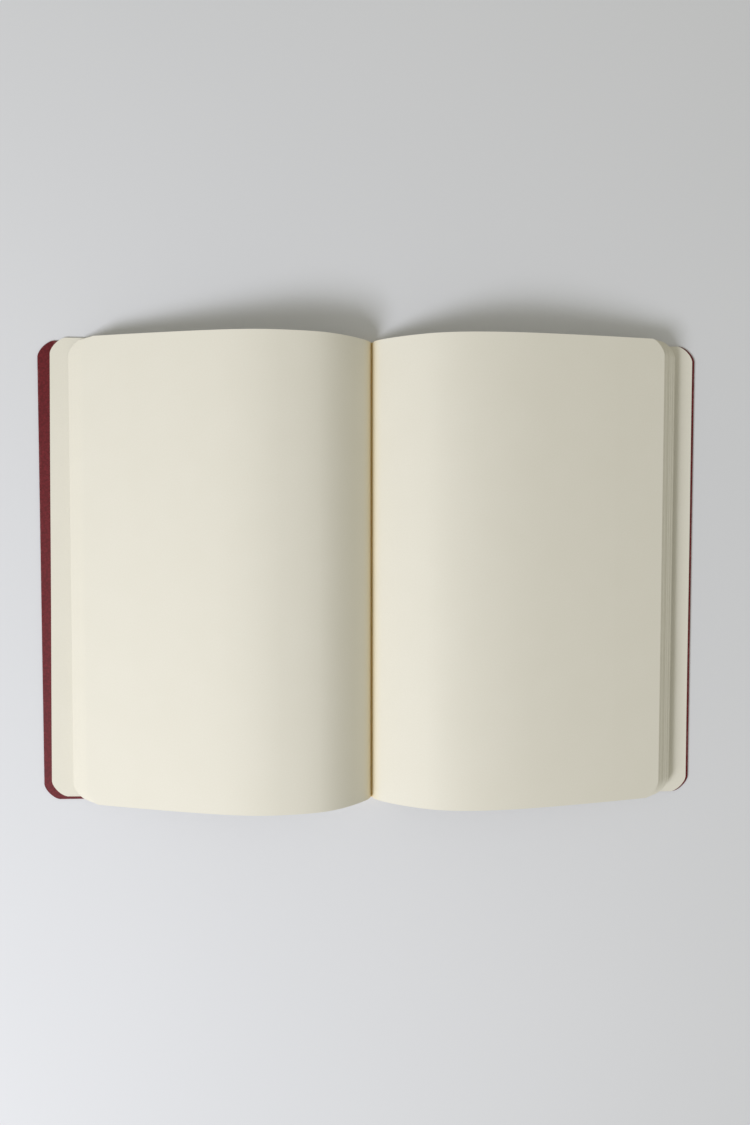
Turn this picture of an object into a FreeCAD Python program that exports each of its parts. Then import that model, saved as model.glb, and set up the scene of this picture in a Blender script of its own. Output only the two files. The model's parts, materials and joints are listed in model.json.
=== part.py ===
"""A soft-cover sketchbook, lying open on its cover at the middle of the book.

One piece of card makes the front panel, the spine and the back panel. Six sewn sections of drawing
paper stand on the spine, three on each side of the opening, and arch over onto the two panels.
X runs from the front cover (left) to the back cover (right), Y from tail to head, Z up from the table.
The origin is on the table, under the middle of the spine. All lengths are in millimetres.
"""
import FreeCAD, Part
import math
import os

# Leaves and sections
page_width = 143.6            # back fold to fore edge
page_height = 210.0
leaf_thickness = 0.17
leaf_gap = 0.01               # air between two leaves
leaves_per_section = 8        # four folded sheets
sections_per_side = 3
section_gap = 0.16            # between the folds of two sections on the spine
gutter_gap = 0.30             # between the two middle sections
lean_deg = {"left": 0.6, "right": 0.0}   # how far the leaves have slipped round against the cover

# Sewing
thread_diameter = 0.18
thread_clearance = 0.01       # each side of the thread, between the two middle leaves
stitch_count = 4
stitch_space = 9.0            # between two stitches
stitch_margin = 15.0          # from the head and the tail to the nearest stitch

# Cover and spine layers, from the table up
card_thickness = 0.50
lining_thickness = 0.25
adhesive_thickness = 0.30
fold_height = 1.25            # the folded back of a section, standing on the adhesive
fold_clearance = 0.10         # between the folds and the first strip of leaves
ridge_height = 0.80           # adhesive squeezed up between the two middle sections
ridge_clearance = 0.02
lining_margin = 0.10          # lining past the outermost fold, each side
cover_clearance = 0.30        # shut cover to page block
crease_clearance = 0.05       # shut panel to the edge of the spine, corner to corner
cover_overhang = 0.70         # cover past the shut page block at the fore edge
head_overhang = 0.0           # cover past the pages at the head and tail, which are cut flush

# Endleaves, lying on the two panels
endleaf_thickness = 0.19
endleaf_clearance = 0.02      # above the card
endleaf_start = 1.2           # from the crease line to the leaf's inner edge
endleaf_margin = {"left": 4.6, "right": 1.2}   # card showing past the endleaf at the fore edge

# Rounded fore-edge corners: a flat arc that meets both edges at a slight angle
corner_along_head = 7.6
corner_down_edge = 6.4
corner_bulge = 1.4            # arc's middle beyond the straight line between its ends

# How the open page block arches. Each section is bent at hinge lines into flat strips, listed from the
# spine outwards by their angle to the table and, in the outermost section, their share of the page
# width. The last strip takes what is left of the page, down to the height of the fore edge.
strip_angles_deg = {"left": [68, 43, 19, 5, -12], "right": [68, 34, 23, 2, -8]}
strip_shares = {"left": [0.024, 0.115, 0.09, 0.15, 0.20], "right": [0.024, 0.11, 0.10, 0.15, 0.20]}
fore_edge_height = {"left": 0.3, "right": 4.2}   # outermost leaf above the endleaf, at the fore edge
hinge_gap = 0.04              # between two strips that lie in line

# Sizes worked out from those above
thread_room = thread_diameter + 2 * thread_clearance
stitch_length = (page_height - 2 * stitch_margin + stitch_space) / stitch_count - stitch_space
section_thickness = leaves_per_section * leaf_thickness + (leaves_per_section - 2) * leaf_gap + thread_room
section_pitch = section_thickness + section_gap
block_half_width = gutter_gap / 2 + sections_per_side * section_pitch - section_gap
adhesive_z = card_thickness + lining_thickness
fold_z = adhesive_z + adhesive_thickness
hinge_z = fold_z + fold_height + fold_clearance
endleaf_top = card_thickness + endleaf_clearance + endleaf_thickness
crease_z = card_thickness / 2
crease_gap = card_thickness / 2 + crease_clearance   # crease line to the edge of a panel or the spine
crease_x = block_half_width + cover_clearance + endleaf_top - crease_z
cover_half_width = crease_x - crease_z + fold_z + page_width + cover_overhang
cover_height = page_height + 2 * head_overhang
strips_width = page_width - fold_height - fold_clearance   # the part of a leaf that is in the strips
SIDES = {"left": -1, "right": 1}


def vector(x, y, z):
    return FreeCAD.Vector(x, y, z)


def save(node, solids):
    shape = solids[0] if len(solids) == 1 else Part.makeCompound(solids)
    shape.exportStep(os.path.join("parts", node + ".step"))


def block(low, high):
    size = [top - bottom for bottom, top in zip(low, high)]
    return Part.makeBox(*size, vector(*low))


def corner_arc(corner, along, down):
    """The rounded corner between two edges that leave it along the unit vectors given."""
    first = corner + along * corner_along_head
    last = corner + down * corner_down_edge
    chord = last - first
    outward = vector(corner.x, corner.y, corner.z) - (first + last) * 0.5
    outward = outward - chord * (outward.dot(chord) / chord.dot(chord))
    middle = (first + last) * 0.5 + outward.normalize() * corner_bulge
    return first, middle, last


def sheet(origin, along, up, thickness, height, start, end, lean=0.0, rounded=False):
    """A flat sheet from start to end along its own length, height wide and thickness thick.

    lean (degrees) turns the leaf that the sheet is cut from round the spine, clockwise from above on
    the left. The spine-side edge stays parallel to Y, and only the fore edge turns with the leaf.
    """
    slope = math.tan(math.radians(lean))
    across = vector(0, 1, 0)

    def at(distance, y):
        return origin + along * distance + across * y

    def edge_y(distance, side):
        return side * height / 2 + distance * slope

    if not rounded:
        corners = [at(d, edge_y(d, side)) for d, side in ((start, -1), (end, -1), (end, 1), (start, 1))]
        outline = Part.makePolygon(corners + corners[:1])
        return Part.Face(outline).extrude(up * thickness)

    tail_end = end + slope * height / 2
    head_end = end - slope * height / 2
    tail = at(tail_end, edge_y(tail_end, -1))
    head = at(head_end, edge_y(head_end, 1))
    back = (along + across * slope).normalize() * -1
    up_edge = (head - tail).normalize()
    tail_arc = corner_arc(tail, back, up_edge)
    head_arc = corner_arc(head, back, up_edge * -1)
    inner_tail = at(start, edge_y(start, -1))
    inner_head = at(start, edge_y(start, 1))
    edges = [
        Part.makeLine(inner_tail, tail_arc[0]),
        Part.Arc(*tail_arc).toShape(),
        Part.makeLine(tail_arc[2], head_arc[2]),
        Part.Arc(*reversed(head_arc)).toShape(),
        Part.makeLine(head_arc[0], inner_head),
        Part.makeLine(inner_head, inner_tail),
    ]
    return Part.Face(Part.Wire(edges)).extrude(up * thickness)


def leaf_offset(leaf):
    """How far a leaf lies above the underside of its section. The thread is in the middle."""
    above_thread = leaf >= leaves_per_section // 2
    steps = leaf * (leaf_thickness + leaf_gap)
    return steps + (thread_room - leaf_gap if above_thread else 0)


def section_start(section):
    """Distance from the gutter's middle to the underside of a section, counted from the gutter."""
    return gutter_gap / 2 + section * section_pitch + section_thickness


def strip_angles(side):
    """Each strip's angle to the table, in radians. The last comes down to the fore edge's height."""
    angles = [math.radians(angle) for angle in strip_angles_deg[side]]
    lengths = [share * page_width for share in strip_shares[side]]
    last_hinge_z = hinge_z + sum(length * math.sin(angle) for length, angle in zip(lengths, angles))
    fall = endleaf_top + fore_edge_height[side] - last_hinge_z
    return angles + [math.asin(fall / (strips_width - sum(lengths)))]


def section_strips(side, section):
    """The strips of one section as it lies open: (hinge point, unit vector along, up, length) each.

    The sections lie parallel. A hinge line of an inner section is square above the one below it, so
    its strips are longer by the mitre at each bend, and its last strip is shorter.
    """
    angles = strip_angles(side)
    sections_below = sections_per_side - 1 - section
    height_above = sections_below * section_pitch * math.sin(angles[0])
    mitres = [height_above * math.tan((a - b) / 2) for a, b in zip(angles, angles[1:])]
    starts = [sections_below * section_pitch * math.cos(angles[0])] + mitres[:-1]
    lengths = [share * page_width + a + b for share, a, b in zip(strip_shares[side], starts, mitres)]
    lengths.append(strips_width - sum(lengths))
    hinge = vector(SIDES[side] * section_start(section), 0, hinge_z)
    strips = []
    for angle, length in zip(angles, lengths):
        along = vector(SIDES[side] * math.cos(angle), 0, math.sin(angle))
        up = vector(-SIDES[side] * math.sin(angle), 0, math.cos(angle))
        strips.append((hinge, along, up, length))
        hinge = hinge + along * length
    return strips


def leaf_strip(side, strip, travelled, last):
    """The eight leaves of one strip. travelled is the leaf's length from its fold to the hinge."""
    hinge, along, up, length = strip
    origin = hinge - along * travelled
    start = travelled + hinge_gap / 2
    end = travelled + length - (0 if last else hinge_gap / 2)
    leaves = []
    for leaf in range(leaves_per_section):
        base = origin + up * leaf_offset(leaf)
        leaves.append(sheet(base, along, up, leaf_thickness, page_height, start, end, lean_deg[side], last))
    return leaves


def section_fold(side, section):
    """The folded back of a section: four sheets nested inside each other, open upwards."""
    inner_x = section_start(section) - section_thickness
    sheets = []
    for nested in range(leaves_per_section // 2):
        inset = leaf_offset(nested)
        low = inner_x + inset
        high = inner_x + section_thickness - inset
        web = fold_z + inset
        top = fold_z + fold_height
        profile = [
            (low, top), (low, web), (high, web), (high, top),
            (high - leaf_thickness, top), (high - leaf_thickness, web + leaf_thickness),
            (low + leaf_thickness, web + leaf_thickness), (low + leaf_thickness, top),
        ]
        points = [vector(SIDES[side] * x, -page_height / 2, z) for x, z in profile]
        face = Part.Face(Part.makePolygon(points + points[:1]))
        sheets.append(face.extrude(vector(0, page_height, 0)))
    return sheets


def section_stitches(side, section):
    """The thread inside a section's middle fold, in long stitches along it."""
    x = SIDES[side] * (section_start(section) - section_thickness / 2)
    innermost = leaf_offset(leaves_per_section // 2 - 1) + leaf_thickness
    z = fold_z + innermost + thread_clearance + thread_diameter / 2
    stitches = []
    for stitch in range(stitch_count):
        middle = (stitch - (stitch_count - 1) / 2) * (stitch_length + stitch_space)
        start = vector(x, middle - stitch_length / 2, z)
        stitches.append(Part.makeCylinder(thread_diameter / 2, stitch_length, start, vector(0, 1, 0)))
    return stitches


def spine_adhesive():
    """A film of glue over the lining, with a ridge squeezed up into the gutter."""
    half_film = block_half_width
    half_ridge = gutter_gap / 2 - ridge_clearance
    film_top = fold_z
    ridge_top = fold_z + ridge_height
    profile = [
        (-half_film, adhesive_z), (half_film, adhesive_z), (half_film, film_top), (half_ridge, film_top),
        (half_ridge, ridge_top), (-half_ridge, ridge_top), (-half_ridge, film_top), (-half_film, film_top),
    ]
    points = [vector(x, -page_height / 2, z) for x, z in profile]
    face = Part.Face(Part.makePolygon(points + points[:1]))
    return face.extrude(vector(0, page_height, 0))


def cover_panel(side):
    along = vector(SIDES[side], 0, 0)
    start = crease_x + crease_gap
    return sheet(vector(0, 0, 0), along, vector(0, 0, 1), card_thickness, cover_height, start,
                 cover_half_width, rounded=True)


def endleaf(side):
    """The leaf on a panel. It leans with the page block on its side, from its inner edge."""
    start = crease_x + endleaf_start
    origin = vector(SIDES[side] * start, 0, card_thickness + endleaf_clearance)
    along = vector(SIDES[side], 0, 0)
    width = cover_half_width - endleaf_margin[side] - start
    return sheet(origin, along, vector(0, 0, 1), endleaf_thickness, page_height, 0, width,
                 lean_deg[side], rounded=True)


def spine_layer(half_width, bottom, thickness, height):
    return block((-half_width, -height / 2, bottom), (half_width, height / 2, bottom + thickness))


def section_number(side, section):
    """Sections are numbered through the book, from the front cover to the back cover."""
    return sections_per_side - section if side == "left" else sections_per_side + 1 + section


os.makedirs("parts", exist_ok=True)
save("front_cover", [cover_panel("left")])
save("back_cover", [cover_panel("right")])
save("spine_cover", [spine_layer(crease_x - crease_gap, 0, card_thickness, cover_height)])
save("spine_lining", [spine_layer(block_half_width + lining_margin, card_thickness, lining_thickness,
                                  page_height)])
save("spine_adhesive", [spine_adhesive()])
save("front_endleaf", [endleaf("left")])
save("back_endleaf", [endleaf("right")])

thread = []
for side in SIDES:
    for section in range(sections_per_side):
        name = f"section_{section_number(side, section)}"
        save(name + "_fold", section_fold(side, section))
        thread += section_stitches(side, section)
        strips = section_strips(side, section)
        travelled = fold_height + fold_clearance
        for number, strip in enumerate(strips, start=1):
            leaves = leaf_strip(side, strip, travelled, last=number == len(strips))
            save(f"{name}_leaves_{number}", leaves)
            travelled += strip[3]
save("sewing_thread", thread)
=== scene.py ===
import json
import math
import random

import bpy
from mathutils import Matrix, Vector
from mathutils.geometry import interpolate_bezier


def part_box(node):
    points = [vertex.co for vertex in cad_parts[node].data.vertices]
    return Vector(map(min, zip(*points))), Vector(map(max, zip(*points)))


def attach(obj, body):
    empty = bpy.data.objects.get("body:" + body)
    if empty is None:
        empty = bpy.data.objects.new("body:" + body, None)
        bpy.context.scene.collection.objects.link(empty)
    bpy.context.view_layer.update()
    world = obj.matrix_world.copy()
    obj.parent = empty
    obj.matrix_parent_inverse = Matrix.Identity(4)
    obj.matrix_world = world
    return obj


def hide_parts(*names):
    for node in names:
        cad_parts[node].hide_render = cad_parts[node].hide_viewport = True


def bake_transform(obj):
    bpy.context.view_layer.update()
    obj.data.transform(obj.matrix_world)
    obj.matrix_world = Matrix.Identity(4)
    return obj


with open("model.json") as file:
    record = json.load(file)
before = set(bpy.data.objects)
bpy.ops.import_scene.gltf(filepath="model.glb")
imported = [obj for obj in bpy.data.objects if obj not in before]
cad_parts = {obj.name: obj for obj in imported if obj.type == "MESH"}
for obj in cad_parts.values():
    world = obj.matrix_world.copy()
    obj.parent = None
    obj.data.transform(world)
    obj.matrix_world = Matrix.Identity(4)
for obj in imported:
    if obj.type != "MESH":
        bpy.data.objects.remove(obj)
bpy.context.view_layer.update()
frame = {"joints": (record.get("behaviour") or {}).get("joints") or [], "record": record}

bpy.ops.object.select_all(action="DESELECT")

# Camera and table: the open book is seen from almost straight above, two or three centimetres off its
# middle. It lies on a plain pale table top.
camera_data = bpy.data.cameras.new("camera")
camera_data.lens = 27.2
camera_data.clip_start = 0.01
camera = bpy.data.objects.new("camera", camera_data)
camera.location = (-0.0156, 0.0215, 0.3947)
camera.rotation_mode = "ZYX"
camera.rotation_euler = [math.radians(turn) for turn in (-2.484, -2.511, -0.088)]
bpy.context.scene.collection.objects.link(camera)
bpy.context.scene.camera = camera


def colour(hex_value):
    """An sRGB hex colour as the linear colour that a shader takes."""
    channels = [int(hex_value[i:i + 2], 16) / 255 for i in (0, 2, 4)]
    linear = [c / 12.92 if c <= 0.04045 else ((c + 0.055) / 1.055) ** 2.4 for c in channels]
    return (*linear, 1.0)


def new_material(name):
    """A material, its node tree and its shader."""
    material = bpy.data.materials.new(name)
    material.use_nodes = True
    return material, material.node_tree, material.node_tree.nodes["Principled BSDF"]


def add_node(tree, kind, inputs=None, **settings):
    """Adds a node. An input is set to a value, or joined to the output it is given."""
    node = tree.nodes.new(kind)
    for name, value in settings.items():
        setattr(node, name, value)
    for socket, value in (inputs or {}).items():
        if isinstance(value, bpy.types.NodeSocket):
            tree.links.new(value, node.inputs[socket])
        else:
            node.inputs[socket].default_value = value
    return node


# Painted table top: pale, matt, and very slightly uneven in tone.
patch_size = 1 / 3               # metres
table_paint, tree, shader = new_material("matt_table_paint")
shader.inputs["Roughness"].default_value = 0.85
place = add_node(tree, "ShaderNodeTexCoord")
tone = add_node(tree, "ShaderNodeTexNoise", {"Vector": place.outputs["Object"], "Scale": 1 / patch_size,
                                            "Detail": 2.0})
paint = add_node(tree, "ShaderNodeMix", {0: tone.outputs["Fac"], 6: colour("DCDEE2"), 7: colour("E3E4E7")},
                 data_type="RGBA")
tree.links.new(paint.outputs[2], shader.inputs["Base Color"])

table_size = 6.0
table_gap = 0.0002               # the table's surface lies this far under the cover
bpy.ops.mesh.primitive_plane_add(size=table_size, location=(0, 0, -table_gap))
table_top = bpy.context.object
table_top.name = "table_top"
table_top.data.materials.append(table_paint)

# Soft studio light: one cool window light beyond the tail and to the left, and a warm fill all round.
window_place = Vector((-0.78, -0.56, 0.86))
window = bpy.data.lights.new("window", "AREA")
window.shape = "SQUARE"
window.size = 0.45
window.energy = 11.6
window.color = colour("F6F7FF")[:3]
window_light = bpy.data.objects.new("window", window)
window_light.location = window_place
window_light.rotation_euler = window_place.to_track_quat("Z", "Y").to_euler()
bpy.context.scene.collection.objects.link(window_light)
room = bpy.data.worlds.new("room")
bpy.context.scene.world = room
room.use_nodes = True
room.node_tree.nodes["Background"].inputs["Color"].default_value = colour("FFFDF0")
room.node_tree.nodes["Background"].inputs["Strength"].default_value = 0.43
bpy.context.scene.view_settings.view_transform = "Standard"

# The cover: one sheet of burgundy card, scored twice so that it folds round the spine. Its fore-edge
# corners are die-cut round, its edges are softened by handling, and its surface has a faint fine grain.
mm = 0.001
page_height = 210 * mm
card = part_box("back_cover")[1].z
crease_x = frame["joints"][0]["pos_m"][0]
spine_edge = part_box("spine_cover")[1].x
corner_reach = 7.0 * mm
corner_profile = 0.40            # flatter than a quarter circle, as a cutting die leaves it
corner_pieces = 8

# Dyed uncoated card: matt, with a pressed grain that only shows at a low angle.
grain_size = 0.9 * mm
cloud_size = 30 * mm
rub_size = 3 * mm
cover_card, tree, shader = new_material("burgundy_cover_card")
shader.inputs["Roughness"].default_value = 0.66
shader.inputs["Specular IOR Level"].default_value = 0.25
place = add_node(tree, "ShaderNodeTexCoord")
# the pressed grain, and the card's own cloudiness
grain = add_node(tree, "ShaderNodeTexVoronoi", {"Vector": place.outputs["Object"], "Scale": 1 / grain_size},
                 feature="SMOOTH_F1")
cloud = add_node(tree, "ShaderNodeTexNoise", {"Vector": place.outputs["Object"], "Scale": 1 / cloud_size,
                                             "Detail": 4.0})
dye = add_node(tree, "ShaderNodeMix", {0: cloud.outputs["Fac"], 6: colour("6E1E24"), 7: colour("822A31")},
               data_type="RGBA")
pits = add_node(tree, "ShaderNodeMapRange", {"Value": grain.outputs["Distance"], "From Max": 0.6})
grained = add_node(tree, "ShaderNodeMix", {0: pits.outputs["Result"], 6: dye.outputs[2], 7: colour("5E1A1F")},
                   data_type="RGBA")
# worn edges: the dye is rubbed off along the rim and the pink paper shows, in short patches
rim = add_node(tree, "ShaderNodeAttribute", attribute_name="wear")
rub = add_node(tree, "ShaderNodeTexNoise", {"Vector": place.outputs["Object"], "Scale": 1 / rub_size,
                                           "Detail": 5.0, "Roughness": 0.65})
patch = add_node(tree, "ShaderNodeMapRange", {"Value": rub.outputs["Fac"], "From Min": 0.48,
                                             "From Max": 0.66})
worn = add_node(tree, "ShaderNodeMath", {0: rim.outputs["Fac"], 1: patch.outputs["Result"]},
                operation="MULTIPLY", use_clamp=True)
rubbed = add_node(tree, "ShaderNodeMix", {0: worn.outputs[0], 6: grained.outputs[2], 7: colour("B98A86")},
                  data_type="RGBA")
tree.links.new(rubbed.outputs[2], shader.inputs["Base Color"])
relief = add_node(tree, "ShaderNodeBump", {"Height": grain.outputs["Distance"], "Strength": 0.2,
                                          "Distance": 0.03 * mm})
tree.links.new(relief.outputs["Normal"], shader.inputs["Normal"])


def edit(piece):
    """Makes one piece the active one, in edge mode with nothing selected, and leaves edit mode."""
    bpy.ops.object.select_all(action="DESELECT")
    piece.select_set(True)
    bpy.context.view_layer.objects.active = piece
    bpy.ops.object.mode_set(mode="EDIT")
    bpy.ops.mesh.select_mode(type="EDGE")
    bpy.ops.mesh.select_all(action="DESELECT")
    bpy.ops.object.mode_set(mode="OBJECT")


def pick_edges(piece, wanted):
    """Selects the edges whose two ends satisfy the test, and goes back to edit mode."""
    points = piece.data.vertices
    for edge in piece.data.edges:
        edge.select = wanted(points[edge.vertices[0]].co, points[edge.vertices[1]].co)
    bpy.ops.object.mode_set(mode="EDIT")


def slab(name, low, high):
    """A box between two corners, with its place in its mesh."""
    middle = (Vector(low) + Vector(high)) / 2
    bpy.ops.mesh.primitive_cube_add(size=1, location=middle)
    piece = bpy.context.object
    piece.name = piece.data.name = name
    piece.scale = Vector(high) - Vector(low)
    bpy.ops.object.transform_apply(location=True, rotation=True, scale=True)
    return piece


def round_corners(piece, fore_x):
    """Rounds the two upright edges at the fore edge."""
    edit(piece)
    pick_edges(piece, lambda a, b: abs(a.x - fore_x) < 1e-6 and abs(b.x - fore_x) < 1e-6
               and abs(a.z - b.z) > 1e-6 and abs(a.y - b.y) < 1e-6)
    bpy.ops.mesh.bevel(offset=corner_reach, segments=corner_pieces, profile=corner_profile, affect="EDGES")
    bpy.ops.object.mode_set(mode="OBJECT")


def soften_rims(piece, width, steps=2):
    """Rounds the edges between the flat faces and the rim all round a sheet."""
    soft = piece.modifiers.new("soft_rim", "BEVEL")
    soft.width = width
    soft.segments = steps
    soft.limit_method = "ANGLE"
    soft.angle_limit = math.radians(60)
    bpy.ops.object.select_all(action="DESELECT")
    piece.select_set(True)
    bpy.context.view_layer.objects.active = piece
    bpy.ops.object.modifier_apply(modifier=soft.name)


def smooth(piece, angle=35):
    """Shades a piece smooth, apart from edges sharper than the angle in degrees."""
    bpy.ops.object.select_all(action="DESELECT")
    piece.select_set(True)
    bpy.context.view_layer.objects.active = piece
    bpy.ops.object.shade_smooth_by_angle(angle=math.radians(angle))


def mark_wear(piece, amount_at):
    """Keeps how rubbed each point of the card is, from 0 to 1."""
    wear = piece.data.attributes.new("wear", "FLOAT", "POINT")
    wear.data.foreach_set("value", [amount_at(v.co) for v in piece.data.vertices])


half_height = page_height / 2
rim_depth = 0.05 * mm            # within this of a face a point isn't on the worn rim
rub_reach = 0.3 * mm             # and a face is only slightly rubbed this near the rim
for node, side in (("front_cover", -1), ("back_cover", 1)):
    low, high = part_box(node)
    panel = slab(node + "_panel", low, high)
    fore_x = low.x if side < 0 else high.x
    round_corners(panel, fore_x)
    soften_rims(panel, width=0.14 * mm)
    smooth(panel)
    middle_z = (low.z + high.z) / 2
    mark_wear(panel, lambda p: 0.85 if abs(p.z - middle_z) < card / 2 - rim_depth
              else 0.25 if min(abs(fore_x - p.x), half_height - abs(p.y)) < rub_reach else 0.0)
    panel.data.materials.append(cover_card)
    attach(panel, node)
    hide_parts(node)

# The spine panel and the two scored creases. They are the same sheet of card as the panels. The score
# has pressed the card thinner, mostly from the outside, so that it bends there.
low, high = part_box("spine_cover")
spine_panel = slab("spine_panel", low, high)
soften_rims(spine_panel, width=0.10 * mm)
smooth(spine_panel)
mark_wear(spine_panel, lambda p: 0.5 if half_height - abs(p.y) < rim_depth else 0.0)
spine_panel.data.materials.append(cover_card)
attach(spine_panel, "spine")
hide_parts("spine_cover")

score_depth = 0.10 * mm
inner_dip = 0.4                  # how deep the inside of the crease is, as a share of the score
crease_inset = 0.02 * mm         # the crease's faces lie this far inside the panels' faces
panel_edge = 2 * crease_x - spine_edge
half_crease = panel_edge - crease_x


def face_outwards(piece):
    """Turns every face of a closed piece to point out."""
    edit(piece)
    bpy.ops.object.mode_set(mode="EDIT")
    bpy.ops.mesh.select_all(action="SELECT")
    bpy.ops.mesh.normals_make_consistent(inside=False)
    bpy.ops.object.mode_set(mode="OBJECT")


for node, side in (("front_cover", -1), ("back_cover", 1)):
    crease = slab(node + "_crease", (spine_edge, -half_height, crease_inset),
                  (panel_edge, half_height, card - crease_inset))
    edit(crease)
    pick_edges(crease, lambda a, b: abs(a.x - b.x) > 1e-6)
    bpy.ops.mesh.subdivide(number_cuts=7)
    bpy.ops.object.mode_set(mode="OBJECT")
    for point in crease.data.vertices:
        near = max(0.0, 1 - ((point.co.x - crease_x) / half_crease) ** 2)
        point.co.z += score_depth * near * (1 if point.co.z < card / 2 else -inner_dip)
        point.co.x *= side
    face_outwards(crease)
    smooth(crease)
    mark_wear(crease, lambda p: 0.3)
    crease.data.materials.append(cover_card)
    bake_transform(crease)

# The spine lining: a strip of open-weave cotton glued inside the spine before the pages go in.
# Cotton mull: its threads are 0.5 mm apart, and the holes of the weave are filled with size.
thread_pitch = 0.5 * mm
bands_in_unit = 3.2              # a wave pattern repeats this often in one unit of its scale
lining_cloth, tree, shader = new_material("cotton_mull")
shader.inputs["Roughness"].default_value = 0.9
place = add_node(tree, "ShaderNodeTexCoord")
weave_scale = 1 / (thread_pitch * bands_in_unit)
warp = add_node(tree, "ShaderNodeTexWave", {"Vector": place.outputs["Object"], "Scale": weave_scale,
                                           "Distortion": 0.6, "Detail": 1.0}, bands_direction="X")
weft = add_node(tree, "ShaderNodeTexWave", {"Vector": place.outputs["Object"], "Scale": weave_scale,
                                           "Distortion": 0.6, "Detail": 1.0}, bands_direction="Y")
weave = add_node(tree, "ShaderNodeMath", {0: warp.outputs["Fac"], 1: weft.outputs["Fac"]},
                 operation="MAXIMUM")
yarn = add_node(tree, "ShaderNodeMix", {0: weave.outputs[0], 6: colour("B9B19B"), 7: colour("E4DECB")},
                data_type="RGBA")
tree.links.new(yarn.outputs[2], shader.inputs["Base Color"])
relief = add_node(tree, "ShaderNodeBump", {"Height": weave.outputs[0], "Strength": 0.7,
                                          "Distance": 0.1 * mm})
tree.links.new(relief.outputs["Normal"], shader.inputs["Normal"])

low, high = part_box("spine_lining")
lining = slab("spine_lining_cloth", low, high)
edit(lining)
pick_edges(lining, lambda a, b: abs(a.y - b.y) > 1e-6)
bpy.ops.mesh.subdivide(number_cuts=69)
bpy.ops.object.mode_set(mode="OBJECT")
frayed = random.Random(4)
fray_depth = 0.08                # millimetres
cut_end = 1 * mm                 # the head and tail ends are cut clean
for point in lining.data.vertices:
    if half_height - abs(point.co.y) > cut_end:
        point.co.x -= math.copysign(frayed.uniform(0, fray_depth) * mm, point.co.x)
soften_rims(lining, width=0.06 * mm, steps=1)
smooth(lining)
lining.data.materials.append(lining_cloth)
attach(lining, "spine")
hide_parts("spine_lining")

# The glue: an amber film over the lining that holds the folds, with a bead squeezed up between the two
# middle sections. It has set hard, slightly glossy and slightly clear.
flow_size = 6 * mm
amber_glue, tree, shader = new_material("amber_binding_glue")
shader.inputs["Roughness"].default_value = 0.32
shader.inputs["IOR"].default_value = 1.48
shader.inputs["Subsurface Weight"].default_value = 0.25
shader.inputs["Subsurface Radius"].default_value = (1.0, 0.6, 0.25)
shader.inputs["Subsurface Scale"].default_value = 0.4 * mm
place = add_node(tree, "ShaderNodeTexCoord")
flow = add_node(tree, "ShaderNodeTexNoise", {"Vector": place.outputs["Object"], "Scale": 1 / flow_size,
                                            "Detail": 3.0})
resin = add_node(tree, "ShaderNodeMix", {0: flow.outputs["Fac"], 6: colour("E0B866"), 7: colour("F2D898")},
                 data_type="RGBA")
tree.links.new(resin.outputs[2], shader.inputs["Base Color"])
relief = add_node(tree, "ShaderNodeBump", {"Height": flow.outputs["Fac"], "Strength": 0.4,
                                          "Distance": 0.1 * mm})
tree.links.new(relief.outputs["Normal"], shader.inputs["Normal"])

low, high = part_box("spine_adhesive")
film_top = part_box("section_1_fold")[0].z
bead_half = 0.13 * mm
bead_rise = 1.2 * mm             # how far the bead has crept up between the leaves past its root
glue = slab("spine_glue", low, (high.x, high.y, film_top))
edit(glue)
bpy.ops.object.mode_set(mode="EDIT")
for cut_x in (-bead_half, bead_half):
    bpy.ops.mesh.select_all(action="SELECT")
    bpy.ops.mesh.bisect(plane_co=(cut_x, 0, 0), plane_no=(1, 0, 0))
bpy.ops.mesh.select_all(action="DESELECT")
bpy.ops.mesh.select_mode(type="FACE")
bpy.ops.object.mode_set(mode="OBJECT")
for face in glue.data.polygons:
    face.select = face.normal.z > 0.9 and abs(face.center.x) < bead_half
bpy.ops.object.mode_set(mode="EDIT")
bpy.ops.mesh.extrude_region_move(TRANSFORM_OT_translate={"value": (0, 0, high.z + bead_rise - film_top)})
bpy.ops.object.mode_set(mode="OBJECT")
soften_rims(glue, width=0.04 * mm)
smooth(glue)
glue.data.materials.append(amber_glue)
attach(glue, "spine")
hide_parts("spine_adhesive")

# The paper: uncoated cream drawing paper. Its fibres give a fine tooth, it clouds very slightly when held
# to the light, and beside the gutter it is yellow: partly glue that has soaked in and stained it, and partly
# a painted glow, standing in for light reflected off the amber glue.
leaf = 0.17 * mm
leaf_gap = 0.01 * mm
leaf_step = leaf + leaf_gap
thread_room = 0.20 * mm          # between the two middle leaves of a section
leaves_in_section = 8
cloudiness_size = 18 * mm
fibre_size = 0.7 * mm            # drawn coarser than real fibres, so that the tooth shows at all
drawing_paper, tree, shader = new_material("cream_drawing_paper")
shader.inputs["Roughness"].default_value = 0.88
shader.inputs["Specular IOR Level"].default_value = 0.25
sheet_place = add_node(tree, "ShaderNodeUVMap", uv_map="leaf")
cloudiness = add_node(tree, "ShaderNodeTexNoise", {"Vector": sheet_place.outputs["UV"],
                                                  "Scale": 1 / cloudiness_size, "Detail": 3.0})
cream = add_node(tree, "ShaderNodeMix", {0: cloudiness.outputs["Fac"], 6: colour("E8E5D8"),
                                        7: colour("EEEBE0")}, data_type="RGBA")
fibres = add_node(tree, "ShaderNodeTexNoise", {"Vector": sheet_place.outputs["UV"],
                                              "Scale": 1 / fibre_size, "Detail": 5.0, "Roughness": 0.7})
flecked = add_node(tree, "ShaderNodeMix", {0: fibres.outputs["Fac"], 6: cream.outputs[2],
                                          7: colour("E4E0D1")}, data_type="RGBA")
along = add_node(tree, "ShaderNodeSeparateXYZ", {"Vector": sheet_place.outputs["UV"]})
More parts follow.
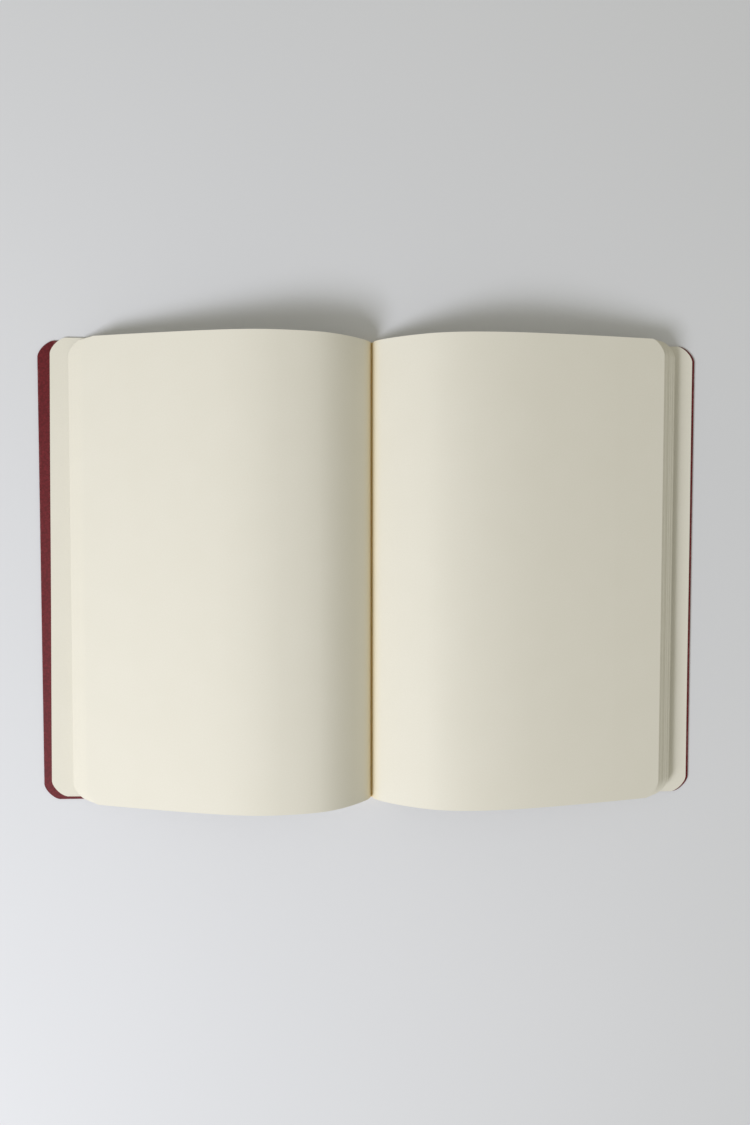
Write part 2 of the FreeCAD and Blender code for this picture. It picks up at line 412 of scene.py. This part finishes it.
# a faint yellow spreads out from the fold, and the first two millimetres are darker: partly glue stain,
# and partly painted glow standing in for light reflected off the amber glue
spread = add_node(tree, "ShaderNodeMapRange", {"Value": along.outputs["X"], "From Min": 1.0 * mm,
                                              "From Max": 9.0 * mm, "To Min": 0.26, "To Max": 0.0},
                  interpolation_type="SMOOTHERSTEP")
stain_and_glow_deep = add_node(tree, "ShaderNodeMapRange", {"Value": along.outputs["X"], "From Min": 0.6 * mm,
                                              "From Max": 2.4 * mm, "To Min": 0.3, "To Max": 0.0},
                  interpolation_type="SMOOTHERSTEP")
tinted = add_node(tree, "ShaderNodeMix", {0: spread.outputs["Result"], 6: flecked.outputs[2],
                                         7: colour("F2DA98")}, data_type="RGBA")
stain_and_glow_paper = add_node(tree, "ShaderNodeMix", {0: stain_and_glow_deep.outputs["Result"], 6: tinted.outputs[2],
                                          7: colour("F0D088")}, data_type="RGBA")
tree.links.new(stain_and_glow_paper.outputs[2], shader.inputs["Base Color"])
tooth = add_node(tree, "ShaderNodeBump", {"Height": fibres.outputs["Fac"], "Strength": 0.25,
                                         "Distance": 0.04 * mm})
tree.links.new(tooth.outputs["Normal"], shader.inputs["Normal"])

# The folds: four sheets nested in each section, pressed round and standing on the glue.
# One fold is spun, sheet by sheet, and then copied to every section.
fold_radius = (leaves_in_section * leaf_step - 2 * leaf_gap + thread_room) / 2
fold_centre = film_top + fold_radius
past_the_fold = 2 * mm           # the folds get the glue stain and painted glow of leaves this far out


def lay_out(piece, start=0.0, up_axis=1):
    """Gives a sheet its own map: distance from the fold, and place along the fold, in metres."""
    layer = piece.data.uv_layers.active or piece.data.uv_layers.new()
    layer.name = "leaf"
    for loop in piece.data.loops:
        point = piece.data.vertices[loop.vertex_index].co
        layer.data[loop.index].uv = (point.x + start, point[up_axis])


nested = []
for ring in range(leaves_in_section // 2):
    outer = fold_radius - ring * leaf_step
    bpy.ops.mesh.primitive_plane_add(size=1, location=(outer - leaf / 2, 0, fold_centre))
    turn = bpy.context.object
    turn.scale = (leaf, page_height, 1)
    bpy.ops.object.transform_apply(location=True, rotation=True, scale=True)
    edit(turn)
    bpy.ops.object.mode_set(mode="EDIT")
    bpy.ops.mesh.select_all(action="SELECT")
    bpy.ops.mesh.spin(steps=14, angle=math.pi, center=(0, 0, fold_centre), axis=(0, 1, 0))
    bpy.ops.mesh.select_all(action="SELECT")
    bpy.ops.mesh.remove_doubles(threshold=1e-7)
    bpy.ops.mesh.normals_make_consistent(inside=False)
    bpy.ops.object.mode_set(mode="OBJECT")
    if min(v.co.z for v in turn.data.vertices) > fold_centre - outer / 2:    # spun over the top
        turn.data.transform(Matrix.Translation((0, 0, 2 * fold_centre)) @ Matrix.Scale(-1, 4, (0, 0, 1)))
        turn.data.flip_normals()
    lay_out(turn, start=past_the_fold)
    nested.append(turn)
bpy.ops.object.select_all(action="DESELECT")
for turn in nested:
    turn.select_set(True)
bpy.context.view_layer.objects.active = nested[0]
bpy.ops.object.join()
first_fold = bpy.context.object
smooth(first_fold, angle=50)
first_fold.data.materials.append(drawing_paper)
for number in range(1, 7):
    low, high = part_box(f"section_{number}_fold")
    fold = first_fold.copy()
    fold.data = first_fold.data.copy()
    fold.name = fold.data.name = f"section_{number}_sewn_fold"
    fold.data.transform(Matrix.Translation(((low.x + high.x) / 2, 0, 0)))
    bpy.context.scene.collection.objects.link(fold)
    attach(fold, "spine")
    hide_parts(f"section_{number}_fold")
bpy.data.objects.remove(first_fold)

# The sewing: waxed linen thread of three plies, in long stitches down the inside of each section's fold.
# One stitch is twisted and then copied to every place. Waxed linen is dull and slightly hairy.
fuzz_size = 0.4 * mm
linen_thread, tree, shader = new_material("waxed_linen_thread")
shader.inputs["Roughness"].default_value = 0.6
place = add_node(tree, "ShaderNodeTexCoord")
fuzz = add_node(tree, "ShaderNodeTexNoise", {"Vector": place.outputs["Object"], "Scale": 1 / fuzz_size,
                                            "Detail": 3.0})
flax = add_node(tree, "ShaderNodeMix", {0: fuzz.outputs["Fac"], 6: colour("CFC6AE"), 7: colour("EFE9D8")},
                data_type="RGBA")
tree.links.new(flax.outputs[2], shader.inputs["Base Color"])

thread_radius = 0.09 * mm
low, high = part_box("sewing_thread")
stitch_gap = 9 * mm
stitches = 4
twists = 12                      # turns of the plies in one stitch
ply_depth = 0.16                 # the grooves between the plies, as a share of the radius
stitch_length = (high.y - low.y + stitch_gap) / stitches - stitch_gap
bpy.ops.mesh.primitive_cylinder_add(vertices=12, radius=thread_radius, depth=stitch_length,
                                    location=(0, 0, 0))
stitch = bpy.context.object
edit(stitch)
pick_edges(stitch, lambda a, b: abs(a.z - b.z) > 1e-5)
bpy.ops.mesh.subdivide(number_cuts=80)
bpy.ops.object.mode_set(mode="OBJECT")
for point in stitch.data.vertices:
    ply = 1 - ply_depth + ply_depth * math.cos(3 * math.atan2(point.co.y, point.co.x))
    point.co.x *= ply
    point.co.y *= ply
twist = stitch.modifiers.new("twist", "SIMPLE_DEFORM")
twist.deform_method = "TWIST"
twist.deform_axis = "Z"
twist.angle = math.radians(360 * twists)
bpy.ops.object.modifier_apply(modifier=twist.name)
stitch.data.transform(Matrix.Rotation(math.radians(90), 4, "X"))
smooth(stitch, angle=60)
stitch.data.materials.append(linen_thread)
row = []
for number in range(1, 7):
    fold_low, fold_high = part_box(f"section_{number}_fold")
    for place_in_row in range(stitches):
        shift = (place_in_row - (stitches - 1) / 2) * (stitch_length + stitch_gap)
        copy = stitch.copy()
        copy.data = stitch.data.copy()
        middle_x, middle_z = (fold_low.x + fold_high.x) / 2, (low.z + high.z) / 2
        copy.data.transform(Matrix.Translation((middle_x, shift, middle_z)))
        bpy.context.scene.collection.objects.link(copy)
        row.append(copy)
bpy.data.objects.remove(stitch)
bpy.ops.object.select_all(action="DESELECT")
for copy in row:
    copy.select_set(True)
bpy.context.view_layer.objects.active = row[0]
bpy.ops.object.join()
thread = bpy.context.object
thread.name = thread.data.name = "linen_thread"
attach(thread, "spine")
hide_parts("sewing_thread")

# The endleaves: one leaf lying flat on each panel, cut with the same rounded corners as the pages.
# They have cockled a tenth of a millimetre or two, as a leaf glued along one edge does. The front one has
# slipped slightly round.
front_slip = 0.6                 # degrees
cockle = 0.10 * mm
cockle_turn = 5.3                # radians of the cockle's wave from the middle of the leaf to its head
past_stain_and_glow = 20 * mm         # no glue stain or painted glow reaches these two leaves
cuts_across, cuts_up = 16, 10
for node, side in (("front", -1), ("back", 1)):
    low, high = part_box(node + "_endleaf")
    inner_x, fore_x = (high.x, low.x) if side < 0 else (low.x, high.x)
    lean = math.tan(math.radians(front_slip)) if side < 0 else 0.0
    width = abs(fore_x - inner_x) - lean * half_height
    endleaf = slab(node + "_endleaf_sheet", (0, -half_height, low.z), (width, half_height, high.z))
    round_corners(endleaf, width)
    edit(endleaf)
    bpy.ops.object.mode_set(mode="EDIT")
    for cut in range(1, cuts_across):
        bpy.ops.mesh.select_all(action="SELECT")
        bpy.ops.mesh.bisect(plane_co=(width * cut / cuts_across, 0, 0), plane_no=(1, 0, 0))
    for cut in range(1 - cuts_up, cuts_up):
        bpy.ops.mesh.select_all(action="SELECT")
        bpy.ops.mesh.bisect(plane_co=(0, half_height * cut / cuts_up, 0), plane_no=(0, 1, 0))
    bpy.ops.object.mode_set(mode="OBJECT")
    lay_out(endleaf, start=past_stain_and_glow)
    for point in endleaf.data.vertices:
        far, up = point.co.x / width, point.co.y / half_height
        point.co.z += cockle * far ** 2 * (1 + math.sin(cockle_turn * up + side))
        lean_y, lean_x = point.co.x * lean, -point.co.y * lean * far
        point.co.x = side * (point.co.x + lean_x) + inner_x
        point.co.y += lean_y
    face_outwards(endleaf)
    smooth(endleaf)
    endleaf.data.materials.append(drawing_paper)
    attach(endleaf, node + "_cover")
    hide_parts(node + "_endleaf")

# The page block: six sections of eight leaves. A section is stacked flat, cut to length, and then bent
# over a smooth arch through the middles of its hinged strips. Each stretch is bent round its own hinge.
# The leaves are all one length, so bending steps their fore edges back one by one.
strips = 6
length_in_strips = 142.25 * mm   # along a leaf, from its first hinge to the fore edge
joint_at = {joint["name"]: joint for joint in frame["joints"]}
bend_of = {c["joint"]: abs(c["ratio"]) * 90 for c in frame["record"]["behaviour"]["couplings"]}
arc_steps = 16
end_cuts = 6
arch_lift = 0.30 * mm            # the leaves bow this far above their hinged strips' middles
leaf_slip = {-1: 0.10, 1: 0.38}  # degrees that the leaves have slipped round, left and right
fore_edge_slant = {-1: 0.15, 1: 0.0}    # degrees
# the fore edges step back by this share of what bending alone gives, and stray by millimetres either way
step_share = {-1: 1.35, 1: 0.95}
stray_cut = 0.22
shuffle = random.Random(11)


def arch_of(number, side):
    """The arch of one section's underside: (start, bend, end) of each stretch, fore edge, whole turn."""
    hinges = [Vector(joint_at[f"section_{number}_bend_{k}"]["pos_m"]) for k in range(1, strips + 1)]
    hinges = [Vector((h.x, h.z)) for h in hinges]
    run = sum((b - a).length for a, b in zip(hinges, hinges[1:]))
    last_turn = math.radians(bend_of[f"section_{number}_bend_{strips}"])
    heading = (hinges[-1] - hinges[-2]).normalized()
    heading.rotate(Matrix.Rotation(-side * last_turn, 2))
    fore_edge = hinges[-1] + heading * (length_in_strips - run)
    stops = [Vector((hinges[0].x, fold_centre))]
    stops += [(a + b) / 2 for a, b in zip(hinges, hinges[1:] + [fore_edge])]
    stretches = [(a, bend, b) for a, bend, b in zip(stops, hinges, stops[1:])]
    total_turn = math.radians(90) - math.atan2(heading.y, abs(heading.x))
    return stretches, fore_edge, total_turn


def bent_curve(stretches, fore_edge):
    """A smooth curve along the arch, and the length along it to the start of each stretch."""
    data = bpy.data.curves.new("arch", "CURVE")
    data.dimensions = "2D"
    data.resolution_u = arc_steps
    line = data.splines.new("BEZIER")
    knots = [s[0] for s in stretches] + [stretches[-1][2], fore_edge]
    line.bezier_points.add(len(knots) - 1)
    # a stretch is a parabola with its hinge at its corner, and the end past the last hinge is straight
    for index, knot in enumerate(knots):
        point = line.bezier_points[index]
        point.co = (*knot, 0)
        before = stretches[index - 1][1] if 0 < index <= len(stretches) else knots[index - 1]
        after = stretches[index][1] if index < len(stretches) else knots[-1]
        point.handle_left = (*knot.lerp(before, 2 / 3 if 0 < index <= len(stretches) else 1 / 3), 0)
        point.handle_right = (*knot.lerp(after, 2 / 3 if index < len(stretches) else 1 / 3), 0)
    marks, length = [0.0], 0.0
    for a, b in zip(line.bezier_points, line.bezier_points[1:]):
        arc = interpolate_bezier(a.co, a.handle_right, b.handle_left, b.co, arc_steps + 1)
        length += sum((q - p).length for p, q in zip(arc, arc[1:]))
        marks.append(length)
    arch = bpy.data.objects.new("arch", data)
    bpy.context.scene.collection.objects.link(arch)
    return arch, marks


def flat_leaf(start, end, cuts, last):
    """The stretch of one leaf from start to end, flat: X along it, Y its thickness, Z up the page."""
    sheet = slab("leaf", (start, 0, -half_height), (end, leaf, half_height))
    edit(sheet)
    if last:
        pick_edges(sheet, lambda a, b: abs(a.x - end) < 1e-7 and abs(b.x - end) < 1e-7
                   and abs(a.y - b.y) > 1e-6)
        bpy.ops.mesh.bevel(offset=corner_reach, segments=corner_pieces, profile=corner_profile,
                           affect="EDGES")
        bpy.ops.object.mode_set(mode="EDIT")
        for cut in range(1, cuts):
            bpy.ops.mesh.select_all(action="SELECT")
            bpy.ops.mesh.bisect(plane_co=(start + (end - start) * cut / cuts, 0, 0), plane_no=(1, 0, 0))
    else:
        pick_edges(sheet, lambda a, b: abs(a.x - b.x) > 1e-7)
        bpy.ops.mesh.subdivide(number_cuts=cuts - 1)
    bpy.ops.object.mode_set(mode="OBJECT")
    return sheet


for number in range(1, 7):
    side = -1 if number <= 3 else 1
    slip = math.tan(math.radians(leaf_slip[side]))
    slant = math.tan(math.radians(fore_edge_slant[side]))
    stretches, fore_edge, total_turn = arch_of(number, side)
    arch, marks = bent_curve(stretches, fore_edge)
    stray = [shuffle.uniform(-stray_cut, stray_cut) * mm for _ in range(leaves_in_section)]
    for stretch in range(strips + 1):
        last = stretch == strips
        start, end = marks[stretch], marks[stretch + 1]
        first_leaf = flat_leaf(start, end, end_cuts if last else arc_steps, last)
        stack = []
        for index in range(leaves_in_section):
            rise = index * leaf_step + (thread_room - leaf_gap if index >= leaves_in_section // 2 else 0)
            copy = first_leaf.copy()
            copy.data = first_leaf.data.copy()
            copy.data.transform(Matrix.Translation((0, rise, 0)))
            if last:
                set_back = rise * total_turn * step_share[side] + stray[index]
                for point in copy.data.vertices:
                    point.co.x -= set_back * (point.co.x - start) / (end - start)
            bpy.context.scene.collection.objects.link(copy)
            stack.append(copy)
        bpy.data.objects.remove(first_leaf)
        bpy.ops.object.select_all(action="DESELECT")
        for copy in stack:
            copy.select_set(True)
        bpy.context.view_layer.objects.active = stack[0]
        bpy.ops.object.join()
        leaves = bpy.context.object
        leaves.name = leaves.data.name = f"section_{number}_pages_{stretch}"
        lay_out(leaves, up_axis=2)
        for point in leaves.data.vertices:
            across, far = point.co.z, point.co.x
            bow = min(1.0, far / marks[2], (marks[-1] - far) / (marks[-1] - marks[-2]))
            point.co.y += arch_lift * max(0.0, bow)
            point.co.z -= far * slip
            if last:
                point.co.x += across * slant * (far - start) / (end - start)
            if side < 0:
                point.co.y = -point.co.y
        bend = leaves.modifiers.new("bend", "CURVE")
        bend.object = arch
        bend.deform_axis = "POS_X"
        bpy.ops.object.modifier_apply(modifier=bend.name)
        leaves.data.transform(Matrix.Rotation(math.radians(90), 4, "X"))
        face_outwards(leaves)
        smooth(leaves, angle=40)
        leaves.data.materials.append(drawing_paper)
        body = f"section_{number}_leaves_{stretch + 1}"
        if last:
            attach(leaves, f"section_{number}_leaves_{strips}")
        else:
            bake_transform(leaves)
            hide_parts(body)
    bpy.data.objects.remove(arch)
